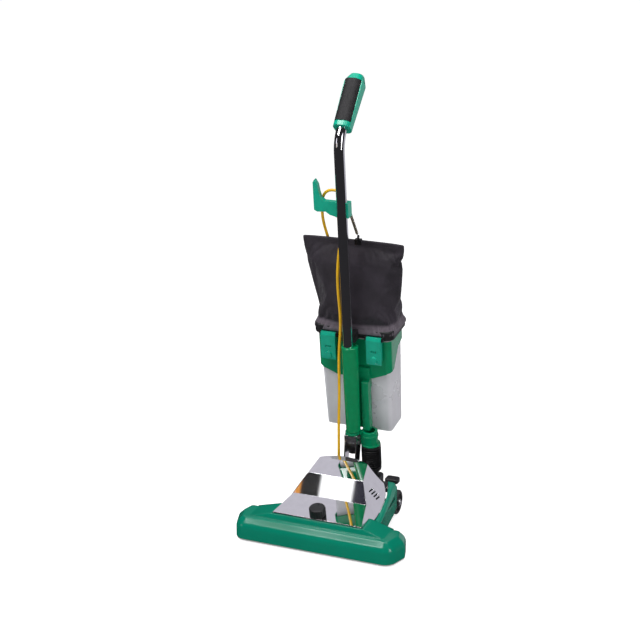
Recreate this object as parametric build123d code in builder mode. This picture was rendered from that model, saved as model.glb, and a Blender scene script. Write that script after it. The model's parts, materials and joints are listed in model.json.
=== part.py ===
"""Commercial upright vacuum cleaner with a 16 inch brush nozzle, dirt cup and dust bag.

Millimetres, +Z up, operator side towards +Y, nozzle towards -Y.
Origin: on the floor, under the middle of the machine.
"""

import os
from math import atan2, cos, degrees, pi, radians, sin, sqrt, tan

from build123d import *

os.makedirs("parts", exist_ok=True)

# ---------------------------------------------------------------- driving dimensions
nozzle_width = 432
nozzle_front = -200
nozzle_back = -97
nozzle_top = 60
sole_bottom = 4
sole_top = 8

motor_y, motor_z = -5, 86
brush_y, brush_z = -150, 28
belt_x = -75
brush_radius, bristle_radius = 17, 24.5

pivot_y, pivot_z = 62, 100
rear_wheel_radius, rear_wheel_y = 31, 98
front_wheel_radius, front_wheel_y = 14, -76
carriage_pivot_y, carriage_pivot_z = -20, 10
pedal_pivot_y, pedal_pivot_z = 46, 82
switch_x, switch_y = -46, 84

handle_lean = 8.5
tube_radius = 12.5
tube_bend_start, tube_bend_radius, grip_bend = 948, 70, 47
duct_x, duct_y = 42, 16
hose_low, hose_high = 113, 180
channel_x, channel_y, channel_port = 32.5, 21, 330

knob_x, knob_y = -4, -147
hood_front, hood_fold, hood_ridge, hood_rear = -165, -82, -44, 11

cord_diameter = 7
cord_radius = cord_diameter / 2
coil_x, coil_y = -58, 222.5
coil_inner, coil_outer, coil_height = 30.5, 81.5, 21.5

# ---------------------------------------------------------------- reference planes
handle_plane = Plane(
    origin=(0, 102.4, 0),
    x_dir=(1, 0, 0),
    z_dir=(0, -sin(radians(handle_lean)), cos(radians(handle_lean))),
)
facet_slope = degrees(atan2(96 - 77, hood_fold - hood_front))
knob_plane = Plane(
    origin=(knob_x, knob_y, 77 + (knob_y - hood_front) * tan(radians(facet_slope))),
    x_dir=(1, 0, 0),
    z_dir=(0, -sin(radians(facet_slope)), cos(radians(facet_slope))),
)


def on_handle(x=0, y=0, z=0, facing="up"):
    """Plane at a point of the leaning handle frame, facing up, back or right."""
    normals = {"up": handle_plane.z_dir, "back": handle_plane.y_dir, "right": handle_plane.x_dir}
    across = {"up": handle_plane.x_dir, "back": handle_plane.x_dir, "right": handle_plane.y_dir}
    return Plane(handle_plane.from_local_coords((x, y, z)), x_dir=across[facing], z_dir=normals[facing])


def facing_front(y):
    """Vertical plane across the machine; sketch x is +X, sketch y is +Z, normal is -Y."""
    return Plane.XZ.offset(-y)


def along_x(x):
    """Vertical plane along the machine; sketch x is +Y, sketch y is +Z, normal is +X."""
    return Plane.YZ.offset(x)


def write(piece, name):
    """Label a finished piece and write it as its own STEP file."""
    piece.part.label = name
    export_step(piece.part, f"parts/{name}.step")


# ---------------------------------------------------------------- folded block the hood is cut from
hood_sections = [
    (hood_front, 114, 77, 118),
    (hood_fold, 95, 96, 119.5),
    (hood_ridge, 72, 139, 124),
    (hood_rear, 63, 160, 131),
    (42, 58, 165, 130),
]
hood_skirt = 60
sheet = 1.6


def hood_body(gap):
    """Folded hood block; gap moves every wall inwards, for the hollow under the sheet."""
    with BuildPart(mode=Mode.PRIVATE) as body:
        for y, top_half, top, bottom_half in hood_sections:
            shift = gap if y == hood_front else 0
            with BuildSketch(facing_front(y + shift)):
                with BuildLine():
                    Polyline(
                        (-top_half + gap, top - gap), (top_half - gap, top - gap),
                        (bottom_half - gap, hood_skirt), (-bottom_half + gap, hood_skirt),
                        (-top_half + gap, top - gap),
                    )
                make_face()
        loft(ruled=True)
    return body.part


# ---------------------------------------------------------------- nozzle and sole
def nozzle_outline(inset=0):
    """Closed plan of the nozzle: straight front, rounded ends that pull in to the back."""
    half = nozzle_width / 2 - inset
    front = nozzle_front + inset
    back = nozzle_back - inset
    with BuildSketch(mode=Mode.PRIVATE) as plan:
        with BuildLine():
            Polyline(
                (-half + 18, front), (half - 18, front), (half, -142), (half - 12, back),
                (-half + 12, back), (-half, -142), (-half + 18, front),
            )
        make_face()
        fillet(plan.vertices().group_by(Axis.Y)[0], 30)
        fillet(plan.vertices().group_by(Axis.Y)[-1], 22)
    return plan.sketch


deck_top = 74
left_wall = 119
fender_sections = [
    (-104, 119, 57, 130, 57, 136, 55, 14),
    (-45, 119, 69, 127, 68, 131, 64, 14),
    (5, 116, 84, 123, 82, 128, 73, 22.4),
    (31, 110, 94, 120, 91, 126, 78, 24),
    (61, 100, 101, 117, 99, 124, 89, 34),
]

with BuildPart() as nozzle_housing:
    with BuildSketch(Plane.XY.offset(sole_top)):
        add(nozzle_outline())
    extrude(amount=nozzle_top - sole_top)
    chamfer(nozzle_housing.faces().sort_by(Axis.Z)[-1].edges(), 17)
    bulge = nozzle_housing.edges().filter_by_position(Axis.Z, nozzle_top - 17.2, nozzle_top - 16.8)
    fillet(bulge, 22)
    top_edge = nozzle_housing.edges().filter_by_position(Axis.Z, nozzle_top - 0.2, nozzle_top + 0.2)
    fillet(top_edge, 5)
    with BuildSketch(Plane.XY.offset(nozzle_top - 1)):
        with Locations((0, -141)):
            Rectangle(352, 66)
    with BuildSketch(Plane.XY.offset(deck_top)):
        with Locations((0, -137)):
            Rectangle(238, 61)
    loft()
    for y, inner, top, edge, edge_top, outer, ridge, bottom in fender_sections:
        with BuildSketch(facing_front(y)):
            with BuildLine():
                Polyline(
                    (inner, bottom), (outer, bottom), (outer, ridge), (edge, edge_top), (inner, top),
                    (inner, bottom),
                )
            make_face()
    loft(ruled=True)
    with BuildSketch(along_x(-left_wall)):
        with BuildLine():
            Polyline((-104, 14), (-104, 57), (-20, 57), (36, 64), (36, 24), (-104, 14))
        make_face()
    extrude(amount=4)
    with BuildSketch(Plane.XY.offset(sole_top)):
        add(nozzle_outline(8))
    extrude(amount=31, mode=Mode.SUBTRACT)
    with BuildSketch(Plane.XY.offset(sole_top + 31)):
        add(nozzle_outline(8))
    extrude(amount=16, taper=45, mode=Mode.SUBTRACT)
    add(hood_body(-0.4), mode=Mode.SUBTRACT)
    with BuildSketch(facing_front(-112)):
        with Locations((79, 39)):
            Rectangle(16, 28)
    extrude(amount=-30, mode=Mode.SUBTRACT)
    with BuildSketch(Plane.XY.offset(22)):
        with Locations((belt_x, -110)):
            Rectangle(20, 40)
        with Locations((knob_x, -98)):
            Rectangle(18, 20)
    extrude(amount=60, mode=Mode.SUBTRACT)
write(nozzle_housing, "nozzle_housing")

with BuildPart() as base_plate:
    with BuildSketch(Plane.XY.offset(sole_bottom)):
        add(nozzle_outline(1.5))
        with Locations((0, -152)):
            Rectangle(384, 56, mode=Mode.SUBTRACT)
        with GridLocations(72, 0, 5, 1):
            with Locations((0, -152)):
                Rectangle(5, 58)
    extrude(amount=sole_top - sole_bottom)
write(base_plate, "base_plate")

# ---------------------------------------------------------------- chrome motor hood
with BuildPart() as motor_hood:
    add(hood_body(0))
    with BuildSketch(along_x(-160)):
        with BuildLine():
            Spline((hood_front - 1, 75.2), (-132, 66), (-100, 62), (-45, 69), (5, 85), (25, 98), (39, 114))
            Line((39, 114), (44, 180))
            Line((44, 180), (hood_front - 1, 180))
            Line((hood_front - 1, 180), (hood_front - 1, 75.2))
        make_face()
    extrude(amount=320, mode=Mode.INTERSECT)
    with BuildSketch(Plane.XY.offset(30)):
        with BuildLine():
            Line((-120, 44), (-104, 40))
            ThreePointArc((-104, 40), (-88, 24), (-63, 11))
            ThreePointArc((-63, 11), (0, 29), (63, 11))
            ThreePointArc((63, 11), (88, 24), (104, 40))
            Line((104, 40), (120, 44))
            Line((120, 44), (130, 44))
            Line((130, 44), (130, -170))
            Line((130, -170), (-130, -170))
            Line((-130, -170), (-130, 44))
            Line((-130, 44), (-120, 44))
        make_face()
    extrude(amount=160, mode=Mode.INTERSECT)
    add(hood_body(sheet), mode=Mode.SUBTRACT)
    with BuildSketch(knob_plane.offset(-6)):
        Circle(5.5)
    extrude(amount=12, mode=Mode.SUBTRACT)
    for side in (-1, 1):
        for louvre in range(4):
            with BuildSketch(along_x(side * 60)):
                with Locations((-34 + 3 * louvre, 114 - 7 * louvre)):
                    SlotOverall(22, 3)
            extrude(amount=side * 60, mode=Mode.SUBTRACT)
write(motor_hood, "motor_hood")

# ---------------------------------------------------------------- black chassis frame
box_half = 66
elbow_out_y = 104.8
box_front, box_back, box_top = 38, 131, 92

with BuildPart() as chassis_frame:
    with BuildSketch(Plane.XY.offset(18)):
        with Locations((0, -28)):
            Rectangle(2 * 112, 132)
        with Locations((0, -61)):
            Rectangle(152, 66, mode=Mode.SUBTRACT)
    extrude(amount=4)
    with BuildSketch(Plane.XY.offset(18)):
        with Locations((0, (box_front + box_back) / 2)):
            RectangleRounded(2 * box_half, box_back - box_front, 10)
    extrude(amount=box_top - 18)
    fillet(chassis_frame.edges().group_by(Axis.Z)[-1], 4)
    with BuildSketch(Plane.XY.offset(14)):
        with Locations((0, (box_front + box_back) / 2)):
            RectangleRounded(2 * box_half - 8, box_back - box_front - 8, 7)
    extrude(amount=box_top - 4 - 14, mode=Mode.SUBTRACT)
    with BuildSketch(Plane.XY.offset(box_top - 6)):
        with Locations((0, 60)):
            Rectangle(34, 60)
        with Locations((duct_x, elbow_out_y)):
            Circle(18.6)
        with Locations((switch_x, switch_y)):
            Rectangle(26.6, 18.6)
    extrude(amount=12, mode=Mode.SUBTRACT)
    with BuildSketch(facing_front(box_front - 4)):
        with Locations((0, 70)):
            Rectangle(2 * box_half - 12, 38)
        with Locations((duct_x, 57)):
            Rectangle(40, 40)
    extrude(amount=-12, mode=Mode.SUBTRACT)
    for side in (-1, 1):
        with BuildSketch(along_x(side * 20 - 2.5)):
            with Locations((pivot_y, 64)):
                Rectangle(20, 72)
            with Locations((pivot_y, pivot_z)):
                Circle(10)
                Circle(5.02, mode=Mode.SUBTRACT)
        extrude(amount=5)
    with BuildSketch(along_x(-box_half - 2)):
        with Locations((rear_wheel_y, rear_wheel_radius)):
            Circle(4.02)
    extrude(amount=2 * box_half + 4, mode=Mode.SUBTRACT)
    with BuildSketch(along_x(30)):
        with Locations((pedal_pivot_y, pedal_pivot_z)):
            Circle(4.2)
    extrude(amount=60, mode=Mode.SUBTRACT)
    for side in (-1, 1):
        with BuildSketch(along_x(side * 56 - 3)):
            with Locations((carriage_pivot_y, 15)):
                Rectangle(12, 8)
            with Locations((carriage_pivot_y, carriage_pivot_z)):
                Circle(6)
                Circle(3.05, mode=Mode.SUBTRACT)
        extrude(amount=6)
    with BuildSketch(Plane.XY.offset(62)):
        with Locations((80.5, 86)):
            Rectangle(29.5, 16)
    extrude(amount=3)
write(chassis_frame, "chassis_frame")

with BuildPart() as hood_screws:
    for side in (-1, 1):
        with BuildSketch(facing_front(hood_rear + 22)):
            with Locations((side * 92, 100)):
                Circle(1.9)
        extrude(amount=-16)
        with BuildSketch(facing_front(hood_rear + 38)):
            with Locations((side * 92, 100)):
                Circle(4)
        extrude(amount=-2.5)
write(hood_screws, "hood_screws")

# ---------------------------------------------------------------- wheels
with BuildPart() as rear_axle:
    with BuildSketch(along_x(-119)):
        with Locations((rear_wheel_y, rear_wheel_radius)):
            Circle(4)
    extrude(amount=238)
write(rear_axle, "rear_axle")

with BuildPart() as axle_caps:
    for side in (-1, 1):
        with BuildSketch(along_x(side * 117.6)):
            with Locations((rear_wheel_y, rear_wheel_radius)):
                Circle(9)
                Circle(4.02, mode=Mode.SUBTRACT)
        extrude(amount=side * 2)
        with BuildSketch(along_x(side * 119.6)):
            with Locations((rear_wheel_y, rear_wheel_radius)):
                Circle(7)
        extrude(amount=side * 2, taper=20)
write(axle_caps, "axle_caps")


def wheel(x_inner, width, radius, bore, y, z):
    """Moulded wheel with a rounded tread and a dished, spoked outer face."""
    with BuildPart() as body:
        with BuildSketch(along_x(x_inner)):
            with Locations((y, z)):
                Circle(radius)
        extrude(amount=width)
        fillet(body.edges().filter_by(GeomType.CIRCLE), min(4, width / 5))
        for face_x, amount in ((x_inner, width * 0.28), (x_inner + width, -width * 0.28)):
            with BuildSketch(along_x(face_x)):
                with Locations((y, z)):
                    Circle(radius * 0.72)
                    Circle(radius * 0.36, mode=Mode.SUBTRACT)
            extrude(amount=amount, mode=Mode.SUBTRACT)
        with BuildSketch(along_x(x_inner)):
            with Locations((y, z)):
                Circle(bore)
        extrude(amount=width, mode=Mode.SUBTRACT)
    return body


for side_name, x_inner in (("left", -117), ("right", 98)):
    rear_wheel = wheel(x_inner, 19, rear_wheel_radius, 4.06, rear_wheel_y, rear_wheel_radius)
    write(rear_wheel, f"rear_wheel_{side_name}")

for side_name, x_inner in (("left", -64), ("right", 50)):
    front_wheel = wheel(x_inner, 14, front_wheel_radius, 3.06, front_wheel_y, front_wheel_radius)
    write(front_wheel, f"front_wheel_{side_name}")

with BuildPart() as front_axle:
    with BuildSketch(along_x(-68)):
        with Locations((front_wheel_y, front_wheel_radius)):
            Circle(3)
    extrude(amount=136)
write(front_axle, "front_axle")

tongue_y, tongue_z = -133, 64.5

with BuildPart() as wheel_carriage:
    for side in (-1, 1):
        with BuildSketch(along_x(side * 45 - 2)) as arm:
            with Locations((front_wheel_y, front_wheel_radius)):
                Circle(7)
            with Locations((carriage_pivot_y, carriage_pivot_z)):
                Circle(5)
            make_hull()
            with Locations((front_wheel_y, front_wheel_radius)):
                Circle(3.02, mode=Mode.SUBTRACT)
        extrude(amount=4)
    with BuildSketch(along_x(-62)):
        with Locations((carriage_pivot_y, carriage_pivot_z)):
            Circle(3)
    extrude(amount=124)
    with BuildSketch(along_x(-44)):
        with Locations((-89, 14)):
            Rectangle(5, 8)
    extrude(amount=88)
    for side in (-1, 1):
        with BuildSketch(along_x(side * 45 - 2)):
            with Locations((-86, 14)):
                Rectangle(9, 8)
        extrude(amount=4)
    with BuildSketch(along_x(knob_x - 5)):
        with Locations((-91, 38)):
            Rectangle(4, 50)
        with Locations(((tongue_y - 91) / 2 + 0.5, tongue_z - 1)):
            Rectangle(-91 - tongue_y + 3, 3)
    extrude(amount=10)
write(wheel_carriage, "wheel_carriage")

# ---------------------------------------------------------------- height knob and its stepped cam
knob_radius, knob_height = 20, 20

with BuildPart() as height_knob:
    with BuildSketch(knob_plane.offset(2.2)):
        Circle(knob_radius)
    extrude(amount=knob_height)
    fillet(height_knob.edges().group_by(SortBy.LENGTH)[-1].sort_by(Axis.Z)[-1:], 4)
    with BuildSketch(knob_plane.offset(2.2)):
        with PolarLocations(knob_radius + 0.6, 18):
            Circle(1.7)
    extrude(amount=knob_height + 2, mode=Mode.SUBTRACT)
    with BuildSketch(knob_plane.offset(knob_height + 2.2 - 1.2)):
        with Locations((0, knob_radius * 0.55)):
            Rectangle(2.4, 9)
    extrude(amount=3, mode=Mode.SUBTRACT)
    with BuildSketch(knob_plane.offset(-10)):
        Circle(5.2)
    extrude(amount=12.2)
write(height_knob, "height_knob")

cam_top = -7.5
cam_steps = 6

with BuildPart() as height_cam:
    with BuildSketch(knob_plane.offset(cam_top - 1.5)):
        Circle(13)
        Circle(5.22, mode=Mode.SUBTRACT)
    extrude(amount=1.5)
    for step in range(cam_steps):
        drop = 4.6 * (cam_steps - step) / cam_steps
        with BuildSketch(knob_plane.offset(cam_top - 1.5)):
            with Locations(Rotation(0, 0, 90 - 30 * step)):
                with BuildLine():
                    Line((0, 0), (13 * cos(radians(-15)), 13 * sin(radians(-15))))
                    ThreePointArc(
                        (13 * cos(radians(-15)), 13 * sin(radians(-15))), (13, 0),
                        (13 * cos(radians(15)), 13 * sin(radians(15))),
                    )
                    Line((13 * cos(radians(15)), 13 * sin(radians(15))), (0, 0))
                make_face()
            Circle(5.22, mode=Mode.SUBTRACT)
        extrude(amount=-drop)
write(height_cam, "height_cam")

# ---------------------------------------------------------------- brush roll and belt
brush_half = 194

with BuildPart() as brush_roll:
    with BuildSketch(along_x(-brush_half)):
        with Locations((brush_y, brush_z)):
            Circle(brush_radius)
    extrude(amount=2 * brush_half)
    with BuildSketch(along_x(belt_x - 6)):
        with Locations((brush_y, brush_z)):
            Circle(brush_radius + 1)
            Circle(13, mode=Mode.SUBTRACT)
    extrude(amount=12, mode=Mode.SUBTRACT)
    with BuildSketch(along_x(-201)):
        with Locations((brush_y, brush_z)):
            Circle(4)
    extrude(amount=2 * 201)
write(brush_roll, "brush_roll")

with BuildPart() as brush_bristles:
    for row in range(2):
        for tuft in range(16):
            x = -180 + 24 * tuft
            if abs(x - belt_x) > 9:
                turn = radians(180 * row + 9 * tuft)
                tuft_plane = Plane(
                    origin=(
                        x, brush_y + (brush_radius + 0.02) * cos(turn),
                        brush_z + (brush_radius + 0.02) * sin(turn),
                    ),
                    x_dir=(1, 0, 0), z_dir=(0, cos(turn), sin(turn)),
                )
                with BuildSketch(tuft_plane):
                    Rectangle(9, 4)
                extrude(amount=bristle_radius - brush_radius, taper=-4)
write(brush_bristles, "brush_bristles")

with BuildPart() as brush_bearings:
    for side in (-1, 1):
        with BuildSketch(along_x(side * 198)):
            with Locations((brush_y + 3, brush_z - 1)):
                Rectangle(20, 23)
            with Locations((brush_y, brush_z)):
                Circle(4.05, mode=Mode.SUBTRACT)
        extrude(amount=side * 4.5)
write(brush_bearings, "brush_bearings")

with BuildPart() as drive_belt:
    with BuildSketch(along_x(belt_x - 4.5)):
        with Locations((brush_y, brush_z)):
            Circle(15.4)
        with Locations((motor_y, motor_z)):
            Circle(11.4)
        make_hull()
    extrude(amount=9)
    with BuildSketch(along_x(belt_x - 5)):
        with Locations((brush_y, brush_z)):
            Circle(13.4)
        with Locations((motor_y, motor_z)):
            Circle(9.4)
        make_hull()
    extrude(amount=10, mode=Mode.SUBTRACT)
write(drive_belt, "drive_belt")


# ---------------------------------------------------------------- motor and fan
def motor_disc(x, radius, length, hole=0):
    """Round stage on the motor's axis, with an optional hole."""
    with BuildSketch(along_x(x)) as disc:
        with Locations((motor_y, motor_z)):
            Circle(radius)
            if hole:
                Circle(hole, mode=Mode.SUBTRACT)
    extrude(disc.sketch, amount=length)


with BuildPart() as motor_housing:
    motor_disc(-60, 40, 82, 37.5)
    motor_disc(-60, 38, 3, 4.3)
    motor_disc(-64, 8, 5, 4.3)
    with BuildSketch(Plane.XY.offset(22)):
        with Locations((-19, motor_y)):
            Rectangle(74, 40)
    extrude(amount=27)
    with BuildSketch(along_x(-57)):
        with Locations((motor_y, motor_z)):
            Circle(37.5)
    extrude(amount=80, mode=Mode.SUBTRACT)
    with BuildSketch(along_x(-64)):
        with Locations((motor_y, motor_z)):
            with PolarLocations(24, 8):
                Circle(5)
    extrude(amount=10, mode=Mode.SUBTRACT)
write(motor_housing, "motor_housing")

with BuildPart() as motor_stator:
    motor_disc(-44, 37.3, 46, 25)
    with BuildSketch(along_x(-48)):
        with Locations((motor_y, motor_z)):
            with PolarLocations(29.5, 2, start_angle=90):
                Rectangle(7, 24)
    extrude(amount=54)
write(motor_stator, "motor_stator")

with BuildPart() as motor_rotor:
    motor_disc(-84, 4, 140)
    motor_disc(-44, 24, 46)
    motor_disc(6, 11, 10)
write(motor_rotor, "motor_rotor")

with BuildPart() as motor_pulley:
    motor_disc(belt_x - 7, 11.5, 2, 4.02)
    motor_disc(belt_x - 5, 9, 10, 4.02)
    motor_disc(belt_x + 5, 11.5, 2, 4.02)
write(motor_pulley, "motor_pulley")

with BuildPart() as fan_impeller:
    motor_disc(30, 36, 2.5, 4.02)
    motor_disc(32.5, 9, 16, 4.02)
    for blade in range(8):
        blade_turn = 45 * blade
        with BuildSketch(along_x(32.5)):
            with Locations(Location((motor_y, motor_z, 0), (0, 0, blade_turn))):
                with Locations((22, 6)):
                    Rectangle(26, 2.2, rotation=25)
        extrude(amount=15)
write(fan_impeller, "fan_impeller")

outlet_low, outlet_high = 42, 73

with BuildPart() as fan_housing:
    motor_disc(24, 42, 34)
    with BuildSketch(along_x(24)):
        with Locations((motor_y + 25, (outlet_low + outlet_high) / 2)):
            Rectangle(54, outlet_high - outlet_low + 4)
    extrude(amount=34)
    with BuildSketch(along_x(26.5)):
        with Locations((motor_y, motor_z)):
            Circle(39.5)
        with Locations((motor_y + 27, (outlet_low + outlet_high) / 2)):
            Rectangle(54, outlet_high - outlet_low)
    extrude(amount=29, mode=Mode.SUBTRACT)
    with BuildSketch(along_x(20)):
        with Locations((motor_y, motor_z)):
            Circle(6)
    extrude(amount=10, mode=Mode.SUBTRACT)
    motor_disc(58, 24, 28)
    with BuildSketch(along_x(68)):
        with BuildLine():
            Polyline(
                (-96.6, 24), (19, 24), (19, motor_z), (-29, motor_z), (-29, 56), (-96.6, 56), (-96.6, 24),
            )
        make_face()
    extrude(amount=22)
    with BuildSketch(along_x(50)):
        with Locations((motor_y, motor_z)):
            Circle(18)
    extrude(amount=33.5, mode=Mode.SUBTRACT)
    with BuildSketch(along_x(70.5)):
        with BuildLine():
            Polyline(
                (-98, 26.5), (16.5, 26.5), (16.5, motor_z), (-26.5, motor_z), (-26.5, 53.5), (-98, 53.5),
                (-98, 26.5),
            )
        make_face()
    extrude(amount=17, mode=Mode.SUBTRACT)
write(fan_housing, "fan_housing")

elbow_low = 57
elbow_top = handle_plane.from_local_coords((duct_x, duct_y, hose_low - 0.4))
elbow_corner = elbow_top - handle_plane.z_dir * ((elbow_top.Z - elbow_low) / handle_plane.z_dir.Z)

with BuildPart() as outlet_elbow:
    with BuildLine() as elbow_path:
        FilletPolyline((duct_x, 47.4, elbow_low), elbow_corner, elbow_top, radius=22)
    with BuildSketch(Plane(origin=(duct_x, 47.4, elbow_low), z_dir=(0, 1, 0))):
        Circle(17)
        Circle(14.8, mode=Mode.SUBTRACT)
    sweep()
    with BuildSketch(facing_front(50.9)):
        with Locations((duct_x - 1, (outlet_low + outlet_high) / 2)):
            Rectangle(36, 35)
        with Locations((duct_x, elbow_low)):
            Circle(14.8, mode=Mode.SUBTRACT)
    extrude(amount=3.5)
    with BuildSketch(on_handle(duct_x, duct_y, hose_low - 3.4)):
        Circle(24)
        Circle(14.8, mode=Mode.SUBTRACT)
    extrude(amount=3)
write(outlet_elbow, "outlet_elbow")

# ---------------------------------------------------------------- pedal, switch, strain relief
with BuildPart() as release_pedal:
    with BuildSketch(along_x(12.5)):
        with Locations((pedal_pivot_y, pedal_pivot_z)):
            Circle(3.9)
    extrude(amount=82)
    with BuildSketch(along_x(13.2)):
        with Locations((pedal_pivot_y, pedal_pivot_z)):
            Circle(3.9)
        with Locations((pedal_pivot_y + 4.2, pedal_pivot_z + 5)):
            Rectangle(6, 6, rotation=48)
    extrude(amount=3.2)
    with BuildSketch(along_x(84)):
        with BuildLine():
            Polyline((42, 78), (52, 78), (96, 84), (96, 90), (80, 90), (42, 86), (42, 78))
        make_face()
    extrude(amount=10)
    with BuildSketch(Plane.XY.offset(84)):
        with Locations((98, 99)):
            RectangleRounded(34, 28, 7)
    extrude(amount=11)
    fillet(release_pedal.edges().group_by(Axis.Z)[-1], 3)
    with BuildSketch(Plane.XY.offset(93.8)):
        with Locations((98, 99)):
            with GridLocations(0, 5, 1, 4):
                Rectangle(24, 1.6)
    extrude(amount=3, mode=Mode.SUBTRACT)
write(release_pedal, "release_pedal")

spring_x, spring_y, spring_low = 89, 86, 65.8

with BuildPart() as pedal_spring:
    with BuildLine() as coil_line:
        Helix(pitch=3.2, height=15.6, radius=4, center=(spring_x, spring_y, spring_low))
    with BuildSketch(Plane(origin=coil_line.line @ 0, z_dir=coil_line.line % 0)):
        Circle(0.6)
    sweep(is_frenet=True)
write(pedal_spring, "pedal_spring")

with BuildPart() as power_switch:
    with BuildSketch(along_x(switch_x - 13)):
        with BuildLine():
            Polyline(
                (switch_y - 7, 84), (switch_y + 7, 84), (switch_y + 8, 92), (switch_y + 7.6, 98),
                (switch_y, 94.5), (switch_y - 7.6, 95.5), (switch_y - 8, 92), (switch_y - 7, 84),
            )
        make_face()
    extrude(amount=26)
    with BuildSketch(along_x(switch_x - 13)):
        with Locations((switch_y, 89.5)):
            Circle(1.2)
    extrude(amount=26, mode=Mode.SUBTRACT)
write(power_switch, "power_switch")

exit_x, exit_y, exit_z = -26, 45, 150

with BuildPart() as cord_strain_relief:
    with BuildSketch(Plane.XY.offset(112)):
        with Locations((exit_x, exit_y)):
            Circle(7.5)
    with BuildSketch(Plane.XY.offset(exit_z)):
        with Locations((exit_x, exit_y)):
            Circle(4.6)
    loft()
    with BuildSketch(Plane.XY.offset(box_top)):
        with Locations((exit_x - 3, exit_y + 0.2)):
            RectangleRounded(24, 13, 3)
    extrude(amount=20.5)
write(cord_strain_relief, "cord_strain_relief")

# ---------------------------------------------------------------- handle bail and tube
bail_low, bail_high = 158, 212
tube_low = 160
pivot_back, pivot_up = -25.2, 104.9

with BuildPart() as handle_bail:
    for x in (-16.4, 13):
        with BuildSketch(on_handle(x=x, facing="right")):
            with Locations((pivot_back, pivot_up)):
                Circle(12)
            with Locations((0, (bail_low + bail_high) / 2 + 10)):
                Rectangle(24, bail_high - bail_low - 20)
            make_hull()
            with Locations((pivot_back, pivot_up)):
                Circle(5.08, mode=Mode.SUBTRACT)
        extrude(amount=3.4)
    with BuildSketch(on_handle(z=bail_low + 14)):
        with Locations((0, -14.6)):
            Rectangle(2 * 16.4, 3.4)
    extrude(amount=bail_high - bail_low - 14)
    with BuildSketch(on_handle(x=-20, facing="right")):
        with Locations((0, 189), (0, 205)):
            Circle(3.03)
    extrude(amount=40, mode=Mode.SUBTRACT)
write(handle_bail, "handle_bail")

with BuildPart() as handle_pivot_pin:
    with BuildSketch(along_x(-23)):
        with Locations((pivot_y, pivot_z)):
            Circle(5)
    extrude(amount=46)
    for side in (-1, 1):
        with BuildSketch(along_x(side * 22.7)):
            with Locations((pivot_y, pivot_z)):
                Circle(8)
        extrude(amount=side * 2.4)
write(handle_pivot_pin, "handle_pivot_pin")

grip_tilt = radians(grip_bend)
bend_end_y = tube_bend_radius * (1 - cos(grip_tilt))
bend_end_z = tube_bend_start + tube_bend_radius * sin(grip_tilt)
tube_stub = 60

with BuildPart() as handle_tube:
    with BuildLine(on_handle(facing="right")):
        Line((0, tube_low), (0, tube_bend_start))
        RadiusArc((0, tube_bend_start), (bend_end_y, bend_end_z), tube_bend_radius)
        Line(
            (bend_end_y, bend_end_z),
            (bend_end_y + tube_stub * sin(grip_tilt), bend_end_z + tube_stub * cos(grip_tilt)),
        )
    with BuildSketch(on_handle(z=tube_low)):
        Circle(tube_radius)
        Circle(tube_radius - 1.5, mode=Mode.SUBTRACT)
    sweep()
    with BuildSketch(on_handle(x=-20, facing="right")):
        with Locations((0, 189), (0, 205)):
            Circle(3.03)
    extrude(amount=40, mode=Mode.SUBTRACT)
write(handle_tube, "handle_tube")

with BuildPart() as bail_bolts:
    for height in (189, 205):
        with BuildSketch(on_handle(x=-17, z=height, facing="right")):
            Circle(3)
        extrude(amount=34)
        for x, amount in ((-16.5, -3.4), (16.5, 3.4)):
            with BuildSketch(on_handle(x=x, z=height, facing="right")):
                RegularPolygon(6, 6)
            extrude(amount=amount)
write(bail_bolts, "bail_bolts")

sleeve_low, sleeve_high = 220, 455

with BuildPart() as tube_sleeve:
    with BuildSketch(on_handle(2, 2, sleeve_low)):
        Circle(18.2)
    with BuildSketch(on_handle(2.5, 3, sleeve_high)):
        Circle(20.6)
    loft()
    fillet(tube_sleeve.edges().filter_by(GeomType.CIRCLE), 2)
    with BuildSketch(on_handle(z=sleeve_low - 1)):
        Circle(tube_radius + 0.1)
    extrude(amount=sleeve_high - sleeve_low + 2, mode=Mode.SUBTRACT)
write(tube_sleeve, "tube_sleeve")

# ---------------------------------------------------------------- bag frame, cup and duct
frame_low, frame_high = 466, 490
frame_front, frame_back, frame_half = 28, 142, 103
latch_x, latch_half = 59, 19
latch_pin_y, latch_pin_z = 22, 472

with BuildPart() as bag_frame:
    with BuildSketch(on_handle(z=frame_low)):
        with Locations((0, (frame_front + frame_back) / 2)):
            RectangleRounded(2 * frame_half, frame_back - frame_front, 20)
    extrude(amount=frame_high - frame_low)
    fillet(bag_frame.edges().group_by(SortBy.LENGTH)[-1], 3)
    with BuildSketch(on_handle(z=frame_low)):
        with Locations((0, 16)):
            Rectangle(34, 28)
    extrude(amount=frame_high - frame_low)
    with BuildSketch(on_handle(z=frame_low - 1)):
        Circle(tube_radius + 0.02)
        with Locations((0, 88)):
            RectangleRounded(150, 78, 14)
    extrude(amount=frame_high - frame_low + 2, mode=Mode.SUBTRACT)
    for x in (-latch_x, latch_x):
        for edge in (-1, 1):
            with BuildSketch(on_handle(x=x + edge * (latch_half + 2.6) - 2, facing="right")):
                with Locations((24, latch_pin_z)):
                    Rectangle(12, 10)
                with Locations((latch_pin_y, latch_pin_z)):
                    Circle(2.02, mode=Mode.SUBTRACT)
            extrude(amount=4)
write(bag_frame, "bag_frame")

with BuildPart() as cup_gasket:
    with BuildSketch(on_handle(z=462.4)):
        with Locations((0, 84)):
            RectangleRounded(194, 104, 16)
            RectangleRounded(168, 82, 10, mode=Mode.SUBTRACT)
    extrude(amount=3.4)
write(cup_gasket, "cup_gasket")

housing_front, housing_back, housing_half = 33, 135, 95
housing_low, housing_top = 355, 462

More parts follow.
